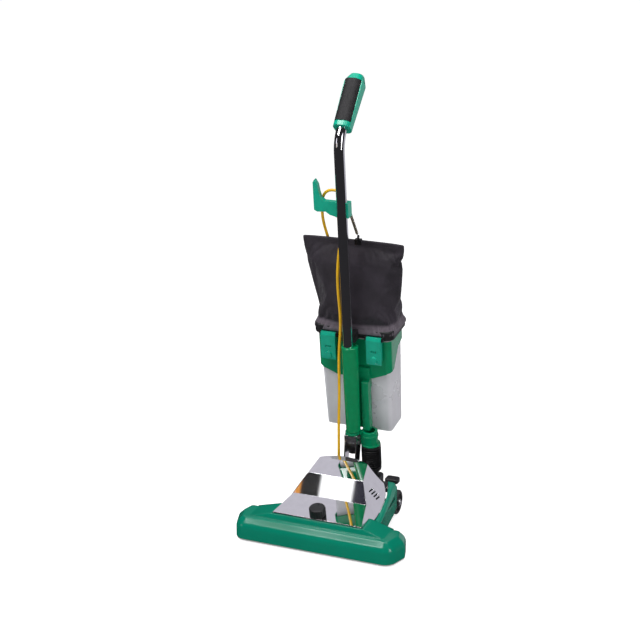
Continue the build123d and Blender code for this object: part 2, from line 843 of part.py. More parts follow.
with BuildPart() as cup_housing:
    with BuildSketch(on_handle(z=housing_low)):
        with Locations((0, (housing_front + housing_back) / 2)):
            RectangleRounded(2 * housing_half, housing_back - housing_front, 16)
    extrude(amount=housing_top - housing_low)
    with BuildSketch(on_handle(z=housing_low - 1)):
        with Locations((0, (housing_front + housing_back) / 2)):
            RectangleRounded(2 * housing_half - 6, housing_back - housing_front - 6, 13)
    extrude(amount=housing_top - housing_low + 2, mode=Mode.SUBTRACT)
    with BuildSketch(on_handle(x=-110, facing="right")):
        with BuildLine():
            Polyline((20, 350), (20, 371), (58, 380), (92, 425), (150, 442), (150, 350), (20, 350))
        make_face()
    extrude(amount=220, mode=Mode.SUBTRACT)
    with BuildSketch(on_handle(y=housing_front, facing="back")):
        with BuildLine():
            Polyline((-84, -372), (-84, -378), (84, -378), (84, -372), (44, -356), (-44, -356), (-84, -372))
        make_face()
    extrude(amount=3)
    for x in (-latch_x, latch_x):
        with BuildSketch(on_handle(x=x - 9, facing="right")):
            with BuildLine():
                Polyline((24, 428), (33.2, 426), (33.2, 438), (24, 428))
            make_face()
        extrude(amount=18)
write(cup_housing, "cup_housing")

cup_low, cup_high = 205, 458


def cup_stage(height, shrink):
    """Plan of the cup at a height of the handle frame; it narrows towards its floor."""
    t = (height - cup_low) / (cup_high - cup_low)
    half = 86.5 + 4.5 * t - shrink
    front = 47.5 - 10 * t + shrink
    back = 131 - 0.4 * t - shrink
    with BuildSketch(on_handle(z=height)) as stage:
        with Locations((0, (front + back) / 2)):
            RectangleRounded(2 * half, back - front, 10)
    return stage.sketch


def cup_block(shrink, floor, rim):
    """Solid tapered block of the cup with its lower back edge cut off at a slant."""
    with BuildPart(mode=Mode.PRIVATE) as block:
        loft([cup_stage(floor, shrink), cup_stage(rim, shrink)])
        with BuildSketch(on_handle(x=-100, facing="right")):
            with BuildLine():
                Polyline(
                    (131 - shrink - 13, floor - 1), (140, floor + 21 - shrink / 3),
                    (150, floor - 1), (131 - shrink - 13, floor - 1),
                )
            make_face()
        extrude(amount=200, mode=Mode.SUBTRACT)
    return block.part


with BuildPart() as dirt_cup:
    add(cup_block(0, cup_low, cup_high))
    add(cup_block(2.6, cup_low + 3, cup_high + 1), mode=Mode.SUBTRACT)
    with BuildSketch(on_handle(y=36, facing="back")):
        with Locations((channel_x, -(channel_port + 11))):
            RectangleRounded(13, 20, 2)
    extrude(amount=14, mode=Mode.SUBTRACT)
write(dirt_cup, "dirt_cup")

with BuildPart() as cup_filter:
    with BuildSketch(on_handle(z=360)):
        with Locations((0, 84)):
            Circle(30)
            Circle(26, mode=Mode.SUBTRACT)
    extrude(amount=98)
    with BuildSketch(on_handle(z=357)):
        with Locations((0, 84)):
            Circle(30)
    extrude(amount=3)
    with BuildSketch(on_handle(z=455)):
        with Locations((0, 84)):
            RectangleRounded(166, 82, 10)
            Circle(26, mode=Mode.SUBTRACT)
    extrude(amount=3)
write(cup_filter, "cup_filter")

duct_low, duct_high = 219.6, 355

with BuildPart() as fill_duct:
    with BuildSketch(on_handle(z=duct_low)):
        with Locations((channel_x, channel_y)):
            RectangleRounded(19, 22, 4)
    extrude(amount=duct_high - duct_low)
    fillet(fill_duct.faces().sort_by(Axis.Z)[-1].edges(), 3)
    with BuildSketch(on_handle(z=duct_low)):
        with Locations((25, 28.6)):
            Rectangle(34, 8.2)
    extrude(amount=168)
    with BuildSketch(on_handle(y=channel_y, facing="back")):
        with Locations((channel_x, -(channel_port + 11))):
            RectangleRounded(17, 25, 3)
    extrude(amount=20.2)
    with BuildSketch(on_handle(z=duct_low - 1)):
        with Locations((channel_x, channel_y)):
            RectangleRounded(14, 17, 2.5)
    extrude(amount=duct_high - duct_low - 2, mode=Mode.SUBTRACT)
    with BuildSketch(on_handle(y=channel_y, facing="back")):
        with Locations((channel_x, -(channel_port + 11))):
            RectangleRounded(13, 20, 2)
    extrude(amount=30, mode=Mode.SUBTRACT)
    with BuildSketch(on_handle(y=channel_y - 12, facing="back")):
        with Locations((channel_x - 5, -240), (channel_x - 5, -262), (channel_x - 5, -284), (channel_x - 5, -306)):
            Rectangle(5, 18)
    extrude(amount=2.2, mode=Mode.SUBTRACT)
write(fill_duct, "fill_duct")

with BuildPart() as duct_connector:
    with BuildSketch(on_handle(z=hose_high + 0.2)):
        with Locations((duct_x - 2, duct_y)):
            Circle(20)
    extrude(amount=38.8)
    with BuildSketch(on_handle(z=204)):
        with Locations((duct_x - 2, duct_y)):
            Circle(21.6)
    extrude(amount=5)
    with BuildSketch(on_handle(z=hose_high + 0.2)):
        with Locations((duct_x, duct_y)):
            Circle(24)
    extrude(amount=3)
    with BuildSketch(on_handle(z=hose_high + 3.2)):
        with Locations((30.4, 16)):
            Rectangle(20, 28)
    extrude(amount=30.3)
    with BuildSketch(on_handle(z=213.5)):
        Circle(18)
        with Locations((14, 6)):
            Rectangle(20, 16)
    extrude(amount=5.5)
    with BuildSketch(on_handle(z=180)):
        with Locations((duct_x - 2, duct_y)):
            Circle(14)
        Circle(tube_radius + 0.05)
    extrude(amount=42, mode=Mode.SUBTRACT)
write(duct_connector, "duct_connector")

# ---------------------------------------------------------------- corrugated hose and its clamps
hose_plane = on_handle(duct_x, duct_y, hose_low)
hose_length = hose_high - hose_low - 0.2
hose_ribs = 8
hose_ribbed_from, hose_ribbed_to = 9, hose_length - 9
rib_pitch = (hose_ribbed_to - hose_ribbed_from) / hose_ribs
hose_profile = [(19, 0), (23, 0), (23, hose_ribbed_from)]
for rib in range(hose_ribs):
    rib_start = hose_ribbed_from + rib * rib_pitch
    hose_profile += [(25, rib_start + rib_pitch * 0.3), (25, rib_start + rib_pitch * 0.6)]
    hose_profile += [(20.8, rib_start + rib_pitch * 0.98)]
hose_profile += [(23, hose_ribbed_to + 0.5), (23, hose_length), (19, hose_length), (19, 0)]

with BuildPart() as air_hose:
    with BuildSketch(Plane(hose_plane.origin, x_dir=hose_plane.x_dir, z_dir=-hose_plane.y_dir)):
        with BuildLine():
            Polyline(hose_profile)
        make_face()
    revolve(axis=Axis(hose_plane.origin, hose_plane.z_dir))
write(air_hose, "air_hose")


def hose_clamp(height):
    """Band clamp round a hose cuff, with its screw block towards the back."""
    with BuildPart() as clamp:
        with BuildSketch(hose_plane.offset(height)):
            Circle(24.6)
            with Locations((0, 26)):
                Rectangle(9, 6)
            Circle(23.2, mode=Mode.SUBTRACT)
        extrude(amount=6)
    return clamp


write(hose_clamp(1.2), "hose_clamp_lower")
write(hose_clamp(hose_length - 7.4), "hose_clamp_upper")

# ---------------------------------------------------------------- cup latches
latch_low, latch_high = 405, 478


def cup_latch(x):
    """Over-centre latch: plate, side cheeks, hooked lip, thumb boss and three vent slots."""
    with BuildPart() as latch:
        with BuildSketch(on_handle(x=x - latch_half, facing="right")):
            with BuildLine():
                Polyline(
                    (13, latch_low + 6), (15, latch_low), (18, latch_low), (18, 462), (26, 466),
                    (26, 474), (22.5, latch_high - 0.8), (16, latch_high - 0.8), (13, 470), (13, latch_low + 6),
                )
            make_face()
        extrude(amount=2 * latch_half)
        for edge in (-1, 1):
            with BuildSketch(on_handle(x=x + edge * (latch_half - 1.5) - 1.5, facing="right")):
                with BuildLine():
                    Polyline((17, 412), (23, 418), (26.5, 464), (17, 464), (17, 412))
                make_face()
            extrude(amount=3)
        with BuildSketch(on_handle(x=x - 8, facing="right")):
            with BuildLine():
                Polyline((17, 420), (27, 421), (27, 424.4), (17, 424.4), (17, 420))
            make_face()
        extrude(amount=16)
        with BuildSketch(on_handle(x=x, y=13.5, facing="back")):
            with Locations((0, -419)):
                Circle(9)
        extrude(amount=-4, taper=18)
        with BuildSketch(on_handle(x=x, y=8, facing="back")):
            with Locations((-5.5, -441), (0, -441), (5.5, -441)):
                Rectangle(3.4, 5)
        extrude(amount=8, mode=Mode.SUBTRACT)
        with BuildSketch(on_handle(x=x - 30, facing="right")):
            with Locations((latch_pin_y, latch_pin_z)):
                Circle(2.06)
        extrude(amount=60, mode=Mode.SUBTRACT)
    return latch


write(cup_latch(-latch_x), "latch_left")
write(cup_latch(latch_x), "latch_right")

with BuildPart() as latch_pins:
    for x in (-latch_x, latch_x):
        with BuildSketch(on_handle(x=x - latch_half - 4.4, facing="right")):
            with Locations((latch_pin_y, latch_pin_z)):
                Circle(2)
        extrude(amount=2 * latch_half + 8.8)
write(latch_pins, "latch_pins")

# ---------------------------------------------------------------- dust bag, its clip and spring
bag_low, bag_high = 490.5, 712
bag_top_half, bag_top_y = 130, 60.5

with BuildPart() as dust_bag:
    with BuildSketch(on_handle(z=bag_low)):
        with Locations((0, 87)):
            RectangleRounded(190, 106, 22)
    with BuildSketch(on_handle(z=bag_low + 110)):
        with Locations((0, 78)):
            RectangleRounded(236, 66, 20)
    with BuildSketch(on_handle(z=bag_high - 12)):
        with Locations((0, bag_top_y)):
            RectangleRounded(2 * bag_top_half, 8, 3)
    loft()
    with BuildSketch(on_handle(z=bag_high - 12)):
        with Locations((0, bag_top_y)):
            RectangleRounded(2 * bag_top_half, 6, 2.5)
    extrude(amount=12)
write(dust_bag, "dust_bag")

clip_x = 14

with BuildPart() as bag_clip:
    with BuildSketch(on_handle(x=clip_x, z=bag_high - 11.4)):
        with Locations((0, bag_top_y - 4.1), (0, bag_top_y + 4.1)):
            Rectangle(16, 1.6)
    extrude(amount=13.4)
    with BuildSketch(on_handle(x=clip_x, z=bag_high + 0.6)):
        with Locations((0, bag_top_y)):
            Rectangle(16, 9.8)
    extrude(amount=1.6)
    with BuildSketch(on_handle(x=clip_x - 1.2, facing="right")):
        with Locations((bag_top_y, bag_high + 7)):
            Circle(5.6)
            Circle(3, mode=Mode.SUBTRACT)
    extrude(amount=2.4)
write(bag_clip, "bag_clip")

hook_low, hook_high = 791, 827
spring_from = handle_plane.from_local_coords((clip_x, bag_top_y, bag_high + 7))
spring_to = handle_plane.from_local_coords((10.5, 22.6, 797))
bag_spring_plane = Plane(origin=spring_from, z_dir=spring_to - spring_from).offset(5.7)
bag_spring_length = (spring_to - spring_from).length - 5.7

with BuildPart() as bag_spring:
    with BuildSketch(bag_spring_plane.offset(3)):
        Circle(3.6)
    extrude(amount=bag_spring_length - 6)
    with BuildSketch(bag_spring_plane):
        Circle(0.9)
    extrude(amount=4)
write(bag_spring, "bag_spring")

# ---------------------------------------------------------------- cord hook on the tube
clip_leg_x = -60

with BuildPart() as cord_hook:
    with BuildSketch(on_handle(z=hook_low)):
        with Locations((0.5, 8)):
            Rectangle(33, 22)
        Circle(tube_radius + 0.05, mode=Mode.SUBTRACT)
        with Locations((0, -12)):
            Rectangle(2 * tube_radius + 0.1, 24, mode=Mode.SUBTRACT)
    extrude(amount=hook_high - hook_low)
    with BuildSketch(on_handle(y=1, facing="back")):
        with BuildLine():
            Polyline(
                (-15.6, -hook_high), (-44, -hook_high), (-53, -833), (-57, -848), (-60, -866),
                (-67, -878), (-71, -871), (-71, -803), (-63, -799), (-42, -801), (-32, -794),
                (-15.6, -790), (-15.6, -hook_high),
            )
        make_face()
    extrude(amount=13)
    for x in (clip_leg_x - 5, clip_leg_x + 5):
        with BuildSketch(on_handle(x, 19.5, 806)):
            Rectangle(2, 13)
        extrude(amount=14)
write(cord_hook, "cord_hook")

# ---------------------------------------------------------------- hand grip
grip_plane = Plane(
    handle_plane.from_local_coords((0, bend_end_y, bend_end_z)),
    x_dir=(1, 0, 0),
    z_dir=(
        0,
        sin(grip_tilt - radians(handle_lean)),
        cos(grip_tilt - radians(handle_lean)),
    ),
)
grip_length = 144


def grip_section(height, width, depth, corner, back_shift=0):
    """Rounded section of the grip at a height along its own axis."""
    with BuildSketch(grip_plane.offset(height)) as section:
        with Locations((0, back_shift)):
            RectangleRounded(width, depth, corner)
    return section.sketch


with BuildPart() as handle_grip:
    loft([grip_section(2, 42, 42, 16, 3), grip_section(grip_length - 22, 47, 52, 18, 7)])
    loft([grip_section(grip_length - 22, 47, 52, 18, 7), grip_section(grip_length, 32, 34, 14, 11)])
    with BuildSketch(grip_plane.offset(1)):
        Circle(tube_radius + 0.05)
    extrude(amount=tube_stub, mode=Mode.SUBTRACT)
    with BuildSketch(grip_plane.offset(14)):
        with Locations((0, -20)):
            Rectangle(60, 26)
    extrude(amount=grip_length - 14 - 20, mode=Mode.SUBTRACT)
write(handle_grip, "handle_grip")

with BuildPart() as grip_insert:
    with BuildSketch(grip_plane.offset(14.3)):
        with Locations((0, 3)):
            RectangleRounded(41, 45, 16)
        with Locations((0, 26.2)):
            Rectangle(60, 66.6, mode=Mode.SUBTRACT)
    extrude(amount=grip_length - 14 - 20.6)
    with BuildSketch(grip_plane.offset(1)):
        Circle(tube_radius + 0.05)
    extrude(amount=tube_stub, mode=Mode.SUBTRACT)
write(grip_insert, "grip_insert")


# ---------------------------------------------------------------- power cord
def corner_radii(points):
    """Largest arc for each corner: 0.45 of the shorter run over the tangent of half the turn."""
    radii = []
    for before, corner, after in zip(points, points[1:], points[2:]):
        run_in = Vector(*corner) - Vector(*before)
        run_out = Vector(*after) - Vector(*corner)
        half_turn = radians(run_in.get_angle(run_out)) / 2
        radii.append(0.45 * min(run_in.length, run_out.length) / tan(half_turn))
    return radii


def cord_tube(name, points):
    """Plain tube of the cord along straight runs joined by tangent arcs."""
    radii = corner_radii(points)
    with BuildPart() as tube:
        with BuildLine() as route:
            FilletPolyline(points, radius=radii)
        with BuildSketch(Plane(origin=route.line @ 0, z_dir=route.line % 0)):
            Circle(cord_radius)
        sweep()
    length = sum(edge.length for edge in route.edges())
    expected = pi * cord_radius**2 * length
    print(name, "length", round(length, 1), "volume ratio", round(tube.part.volume / expected, 4))
    print(name, "radii", [round(radius) for radius in radii])
    write(tube, name)
    return length


riser_route = [
    (exit_x, exit_y, exit_z + 0.4), (-26.2, 45, 190), (-26.5, 43, 250), (-25.5, 43.5, 320), (-26.5, 41.5, 385),
    (-26, 40, 440), (-22, 38, 486), (-20.5, 31, 535), (-21, 16, 590), (-20.5, 9, 645),
    (-17, 11.5, 700), (-6, 10, 750), (1.5, 8, 785), (1.5, 0.5, 842), (clip_leg_x, 0.5, 842),
    (clip_leg_x, 7.5, 795),
]
tail_route = [
    (clip_leg_x, 7.52, 794.88), (clip_leg_x, 10.6, 774), (-65, 36, 745), (-70, 72, 708), (-70, 110, 658),
    (-68, 148, 600), (-66, 178, 540), (-63, 188, 475), (-59, 191, 405), (-55, 199, 335),
    (-50, 213, 270), (-46, 212, 218), (-43, 186, 184), (-42, 162, 158), (-44, 154, 118),
    (-46, 158, 80), (-47, 165, 48), (-47, 166.5, coil_height + 0.3),
]
cord_length = cord_tube("power_cord_riser", riser_route) + cord_tube("power_cord_tail", tail_route)

with BuildPart() as power_cord_coil:
    with BuildSketch(Plane(origin=(coil_x, coil_y, 0), x_dir=(1, 0, 0), z_dir=(0, -1, 0))):
        with Locations(((coil_inner + coil_outer) / 2, coil_height / 2)):
            RectangleRounded(coil_outer - coil_inner, coil_height, 4)
    revolve(axis=Axis((coil_x, coil_y, 0), (0, 0, 1)))
write(power_cord_coil, "power_cord_coil")

coil_middle = (coil_inner + coil_outer) / 2
coil_turns = 21
coil_length = coil_turns * 2 * pi * coil_middle
print("cord length in total", round(cord_length + coil_length))

tie_angle = 205
tie_plane = Plane(
    origin=(
        coil_x + coil_middle * cos(radians(tie_angle)),
        coil_y + coil_middle * sin(radians(tie_angle)),
        coil_height / 2,
    ),
    x_dir=(cos(radians(tie_angle)), sin(radians(tie_angle)), 0),
    z_dir=(-sin(radians(tie_angle)), cos(radians(tie_angle)), 0),
)

with BuildPart() as cord_tie:
    with BuildSketch(tie_plane.offset(-5)):
        RectangleRounded(coil_outer - coil_inner + 5, coil_height + 3, 5)
        RectangleRounded(coil_outer - coil_inner + 2.2, coil_height + 0.4, 4.2, mode=Mode.SUBTRACT)
        with Locations((0, coil_height / 2 + 2)):
            Rectangle(coil_outer, 4, mode=Mode.SUBTRACT)
    extrude(amount=10)
write(cord_tie, "cord_tie")

plug_turn = radians(150)
plug_start = Vector(
    coil_x + (coil_outer + 16) * cos(plug_turn), coil_y + (coil_outer + 16) * sin(plug_turn), 11
)
plug_plane = Plane(origin=plug_start, x_dir=(0, 0, 1), z_dir=(sin(plug_turn), -cos(plug_turn), 0))

with BuildPart() as plug_body:
    with BuildSketch(plug_plane):
        Circle(5)
    with BuildSketch(plug_plane.offset(22)):
        Circle(6.5)
    loft()
    with BuildSketch(plug_plane.offset(22)):
        RectangleRounded(20, 24, 6)
    with BuildSketch(plug_plane.offset(46)):
        RectangleRounded(21, 30, 8)
    loft()
write(plug_body, "plug_body")

with BuildPart() as plug_blades:
    with BuildSketch(plug_plane.offset(46.02)):
        with Locations((4, -6.35), (4, 6.35)):
            Rectangle(6.3, 1.5)
    extrude(amount=16)
    with BuildSketch(plug_plane.offset(46.02)):
        with Locations((-5.5, 0)):
            Circle(2.4)
    extrude(amount=18)
write(plug_blades, "plug_blades")
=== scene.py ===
"""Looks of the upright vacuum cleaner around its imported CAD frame. Metres, +Z up."""
import json
from math import cos, pi, radians, sin

import bmesh
import bpy
from mathutils import Matrix, Vector


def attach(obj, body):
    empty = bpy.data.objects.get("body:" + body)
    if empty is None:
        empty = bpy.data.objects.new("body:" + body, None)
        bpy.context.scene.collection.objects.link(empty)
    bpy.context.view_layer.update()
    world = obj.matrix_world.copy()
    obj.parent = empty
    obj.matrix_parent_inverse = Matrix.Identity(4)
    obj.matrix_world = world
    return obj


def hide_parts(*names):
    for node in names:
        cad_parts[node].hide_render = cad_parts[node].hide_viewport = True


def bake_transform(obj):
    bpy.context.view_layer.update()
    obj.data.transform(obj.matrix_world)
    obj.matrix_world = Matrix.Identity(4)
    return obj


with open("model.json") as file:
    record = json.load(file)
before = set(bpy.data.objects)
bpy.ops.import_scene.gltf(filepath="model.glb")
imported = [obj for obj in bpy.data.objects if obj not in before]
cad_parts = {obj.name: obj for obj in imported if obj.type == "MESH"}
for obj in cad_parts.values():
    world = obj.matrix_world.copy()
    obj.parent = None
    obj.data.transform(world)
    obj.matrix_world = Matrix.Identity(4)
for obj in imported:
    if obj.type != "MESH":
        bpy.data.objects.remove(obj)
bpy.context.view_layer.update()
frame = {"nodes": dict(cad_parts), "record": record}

scene = bpy.context.scene
scene.view_settings.view_transform = "Standard"

# ------------------------------------------------------------------ camera
AZIMUTH, PITCH, ROLL = radians(22), radians(17.7), radians(0.3)
EYE = Vector((1.2203, -3.1701, 1.6111))
FOCAL_PER_WIDTH = 1492 / 640
forward = Vector((-sin(AZIMUTH) * cos(PITCH), cos(AZIMUTH) * cos(PITCH), -sin(PITCH)))
level = Vector((cos(AZIMUTH), sin(AZIMUTH), 0))
upright = level.cross(forward)
right = level * cos(ROLL) + upright * sin(ROLL)
top = upright * cos(ROLL) - level * sin(ROLL)
camera_data = bpy.data.cameras.new("camera")
camera_data.sensor_width = 36
camera_data.lens = 36 * FOCAL_PER_WIDTH
camera_data.clip_end = 200
camera = bpy.data.objects.new("camera", camera_data)
scene.collection.objects.link(camera)
turn = Matrix((right, top, -forward)).transposed().to_4x4()
camera.matrix_world = Matrix.Translation(EYE) @ turn
scene.camera = camera

# ------------------------------------------------------------------ leaning handle frame
LEAN = radians(8.5)
HANDLE_FOOT = 0.1024
HANDLE_UP = Vector((0, -sin(LEAN), cos(LEAN)))
HANDLE_BACK = Vector((0, cos(LEAN), sin(LEAN)))


def on_handle(x, y, z):
    """World point of a place given in the handle's own frame, millimetres."""
    return Vector((x / 1000, HANDLE_FOOT, 0)) + HANDLE_BACK * (y / 1000) + HANDLE_UP * (z / 1000)


def new_object(name, mesh, body=None, replaced=(), material=None):
    """Link a mesh as a piece, with its body and material, hiding the CAD nodes it stands for."""
    made = bpy.data.objects.new(name, mesh)
    scene.collection.objects.link(made)
    if body:
        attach(made, body)
    if replaced:
        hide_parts(*replaced)
    if material:
        made.data.materials.clear()
        made.data.materials.append(material)
    return made


# ------------------------------------------------------------------ materials
def add_node(tree, kind, **inputs):
    """Add a node and set the inputs that are plain values."""
    node = tree.nodes.new(kind)
    for key, value in inputs.items():
        node.inputs[key.replace("_", " ")].default_value = value
    return node


def math_node(tree, operation, first, second=None):
    """Scalar maths on a socket, with another socket or a plain number as its second input."""
    node = tree.nodes.new("ShaderNodeMath")
    node.operation = operation
    tree.links.new(first, node.inputs[0])
    if isinstance(second, bpy.types.NodeSocket):
        tree.links.new(second, node.inputs[1])
    elif second is not None:
        node.inputs[1].default_value = second
    return node.outputs[0]


def shade(name, color, rough=0.4, metal=0.0, mottle=0.06, scale=60.0, bump=0.15, grain=900.0,
          depth=0.0002, coat=0.0, edge=0.0, rough_spread=0.06, sheen=0.0, clear=0.0):
    """Moulded, plated or coated surface: mottled colour, uneven gloss, fine grain and eased edges."""
    material = bpy.data.materials.new(name)
    material.use_nodes = True
    tree = material.node_tree
    link = tree.links.new
    shader = tree.nodes["Principled BSDF"]
    shader.inputs["Metallic"].default_value = metal
    shader.inputs["Coat Weight"].default_value = coat
    shader.inputs["Coat Roughness"].default_value = 0.08
    shader.inputs["Sheen Weight"].default_value = sheen
    shader.inputs["Transmission Weight"].default_value = clear
    place = tree.nodes.new("ShaderNodeTexCoord")
    cloud = add_node(tree, "ShaderNodeTexNoise", Scale=scale, Detail=4.0)
    link(place.outputs["Object"], cloud.inputs["Vector"])
    tint = tree.nodes.new("ShaderNodeValToRGB")
    low = [c * (1 - mottle * 1.6) for c in color]
    high = [min(1.0, c * (1 + mottle)) for c in color]
    tint.color_ramp.elements[0].position = 0.3
    tint.color_ramp.elements[1].position = 0.7
    tint.color_ramp.elements[0].color = (*low, 1)
    tint.color_ramp.elements[1].color = (*high, 1)
    link(cloud.outputs["Fac"], tint.inputs["Fac"])
    link(tint.outputs["Color"], shader.inputs["Base Color"])
    gloss = add_node(tree, "ShaderNodeMapRange", To_Min=max(0.02, rough - rough_spread),
                     To_Max=rough + rough_spread)
    smear = add_node(tree, "ShaderNodeTexNoise", Scale=scale * 0.6, Detail=5.0)
    link(place.outputs["Object"], smear.inputs["Vector"])
    link(smear.outputs["Fac"], gloss.inputs["Value"])
    link(gloss.outputs["Result"], shader.inputs["Roughness"])
    fine = add_node(tree, "ShaderNodeTexNoise", Scale=grain, Detail=3.0)
    link(place.outputs["Object"], fine.inputs["Vector"])
    relief = add_node(tree, "ShaderNodeBump", Strength=bump, Distance=depth)
    link(fine.outputs["Fac"], relief.inputs["Height"])
    if edge:
        eased = add_node(tree, "ShaderNodeBevel", Radius=edge)
        eased.samples = 6
        link(eased.outputs["Normal"], relief.inputs["Normal"])
    link(relief.outputs["Normal"], shader.inputs["Normal"])
    return material


THREAD_SPACING = 0.0011
FOOT_BAND_TOP, FOOT_BAND_FULL = 0.506, 0.498
FOOT_BAND_COLOR = (0.13, 0.105, 0.13, 1)


def cloth_material():
    """Dark woven cloth, with a lighter gathered band at the foot of the bag."""
    material = shade("cloth", (0.034, 0.026, 0.038), rough=0.66, mottle=0.25, scale=14, bump=0,
                     sheen=0.12)
    tree = material.node_tree
    link = tree.links.new
    shader = tree.nodes["Principled BSDF"]
    shader.inputs["Sheen Roughness"].default_value = 0.4
    place = tree.nodes.new("ShaderNodeTexCoord")
    split = tree.nodes.new("ShaderNodeSeparateXYZ")
    link(place.outputs["Object"], split.inputs["Vector"])
    waves = []
    for axis in ("X", "Z"):
        phase = math_node(tree, "MULTIPLY", split.outputs[axis], 2 * pi / THREAD_SPACING)
        waves.append(math_node(tree, "SINE", phase))
    weave = math_node(tree, "MULTIPLY", waves[0], waves[1])
    relief = add_node(tree, "ShaderNodeBump", Strength=0.35, Distance=0.0003)
    link(weave, relief.inputs["Height"])
    crease = add_node(tree, "ShaderNodeTexNoise", Scale=26.0, Detail=3.0, Distortion=0.6)
    link(place.outputs["Object"], crease.inputs["Vector"])
    folds = add_node(tree, "ShaderNodeBump", Strength=0.5, Distance=0.004)
    link(crease.outputs["Fac"], folds.inputs["Height"])
    link(folds.outputs["Normal"], relief.inputs["Normal"])
    link(relief.outputs["Normal"], shader.inputs["Normal"])
    # the foot band is told apart by its height along the handle, metres
    up_handle = tree.nodes.new("ShaderNodeVectorMath")
    up_handle.operation = "DOT_PRODUCT"
    up_handle.inputs[1].default_value = HANDLE_UP
    link(place.outputs["Object"], up_handle.inputs[0])
    foot = HANDLE_UP.y * HANDLE_FOOT
    band = add_node(tree, "ShaderNodeMapRange", From_Min=FOOT_BAND_TOP + foot,
                    From_Max=FOOT_BAND_FULL + foot)
    link(up_handle.outputs["Value"], band.inputs["Value"])
    paler = tree.nodes.new("ShaderNodeMix")
    paler.data_type = "RGBA"
    paler.inputs["B"].default_value = FOOT_BAND_COLOR
    link(band.outputs["Result"], paler.inputs["Factor"])
    tinted = shader.inputs["Base Color"].links[0].from_socket
    link(tinted, paler.inputs["A"])
    link(paler.outputs["Result"], shader.inputs["Base Color"])
    return material


GREEN = (0.0, 0.265, 0.112)
TEAL = (0.0, 0.390, 0.250)
MATERIALS = {
    "green": shade("green", GREEN, rough=0.2, mottle=0.05, coat=0.35, edge=0.0015, bump=0.05, scale=20),
    "teal": shade("teal", TEAL, rough=0.3, coat=0.15, edge=0.0008, bump=0.1),
    "sole": shade("sole", (0.60, 0.60, 0.59), rough=0.5, edge=0.0006),
    "chrome": shade("chrome", (0.86, 0.86, 0.88), rough=0.03, rough_spread=0.01, metal=1, mottle=0.02,
                    bump=0.015, grain=300, edge=0.0008),
    "bail": shade("bail", (0.90, 0.90, 0.92), rough=0.20, rough_spread=0.05, metal=1, mottle=0.02,
                  edge=0.0008),
    "steel": shade("steel", (0.50, 0.50, 0.51), rough=0.3, metal=1, edge=0.0004),
    "black": shade("black", (0.018, 0.018, 0.020), rough=0.42, mottle=0.2, bump=0.4, grain=1500,
                   edge=0.0008),
    "gloss_black": shade("gloss_black", (0.012, 0.012, 0.013), rough=0.22, mottle=0.2, edge=0.0006),
    "bristle": shade("bristle", (0.03, 0.03, 0.03), rough=0.5, mottle=0.4, grain=2500, bump=0.7),
    "rubber": shade("rubber", (0.016, 0.016, 0.017), rough=0.55, mottle=0.3, bump=0.4, edge=0.0008),
    "tyre": shade("tyre", (0.055, 0.055, 0.057), rough=0.6, mottle=0.3, bump=0.5, edge=0.0008),
    "bearing": shade("bearing", (0.20, 0.20, 0.21), rough=0.4, edge=0.0005),
    "iron": shade("iron", (0.16, 0.15, 0.14), rough=0.5, metal=0.8, mottle=0.3),
    "alu": shade("alu", (0.62, 0.63, 0.64), rough=0.35, metal=1),
    "clear": shade("clear", (0.86, 0.85, 0.89), rough=0.28, mottle=0.05, clear=0.25, scale=14, coat=0.3),
    "filter": shade("filter", (0.62, 0.60, 0.55), rough=0.9, mottle=0.2, bump=0.8, grain=1200, sheen=0.3),
    "gasket": shade("gasket", (0.30, 0.30, 0.30), rough=0.7),
    "cloth": cloth_material(),
    "cord": shade("cord", (0.90, 0.50, 0.004), rough=0.36, mottle=0.06, bump=0.15, grain=500, coat=0.1),
    "brass": shade("brass", (0.75, 0.55, 0.25), rough=0.25, metal=1, edge=0.0003),
    "sleeve": shade("sleeve", (0.0, 0.265, 0.095), rough=0.24, mottle=0.05, coat=0.2, edge=0.001,
                    bump=0.06),
    "nozzle": shade("nozzle", (0.0, 0.235, 0.145), rough=0.16, rough_spread=0.04, mottle=0.04, coat=0.3,
                    edge=0.006, bump=0.04, scale=12),
    "thread": shade("thread", (0.06, 0.05, 0.06), rough=0.6, mottle=0.2, grain=3000),
    "spring": shade("spring", (0.55, 0.50, 0.42), rough=0.3, metal=0.9, mottle=0.1),
    "hose": shade("hose", (0.009, 0.009, 0.010), rough=0.18, mottle=0.2, bump=0.2, grain=900, edge=0.0006),
    "insert": shade("insert", (0.009, 0.008, 0.010), rough=0.7, mottle=0.3, bump=0.8, grain=700,
                    depth=0.0005, edge=0.001),
}
# a node takes its record slot's material unless it is listed here
record_slots = {row["node"]: row["material_slot"] for row in frame["record"]["subparts"]}
SPECIAL = {
    "tube_sleeve": "sleeve", "grip_insert": "insert", "nozzle_housing": "nozzle", "air_hose": "hose",
    "bag_clip": "gloss_black", "handle_grip": "teal", "axle_caps": "alu",
    "handle_bail": "bail",
}
for name, node in frame["nodes"].items():
    chosen = MATERIALS[SPECIAL.get(name, record_slots[name])]
    node.data.materials.clear()
    node.data.materials.append(chosen)


# ------------------------------------------------------------------ power cord
CORD_DIAMETER = 0.007
CORD_RADIUS = CORD_DIAMETER / 2


def mesh_of_curve(name, curve):
    """Mesh that a curve evaluates to, made through a passing carrier object."""
    carrier = bpy.data.objects.new(name, curve)
    scene.collection.objects.link(carrier)
    graph = bpy.context.evaluated_depsgraph_get()
    mesh = bpy.data.meshes.new_from_object(carrier.evaluated_get(graph))
    bpy.data.objects.remove(carrier)
    return mesh


def spline_curve(name, points):
    """Smooth open line through a route's control points, given in metres."""
    curve = bpy.data.curves.new(name, "CURVE")
    curve.dimensions = "3D"
    curve.resolution_u = 6
    spline = curve.splines.new("NURBS")
    spline.points.add(len(points) - 1)
    for point, place in zip(spline.points, points):
        point.co = (*place, 1)
    spline.order_u = 3
    spline.use_endpoint_u = True
    return curve


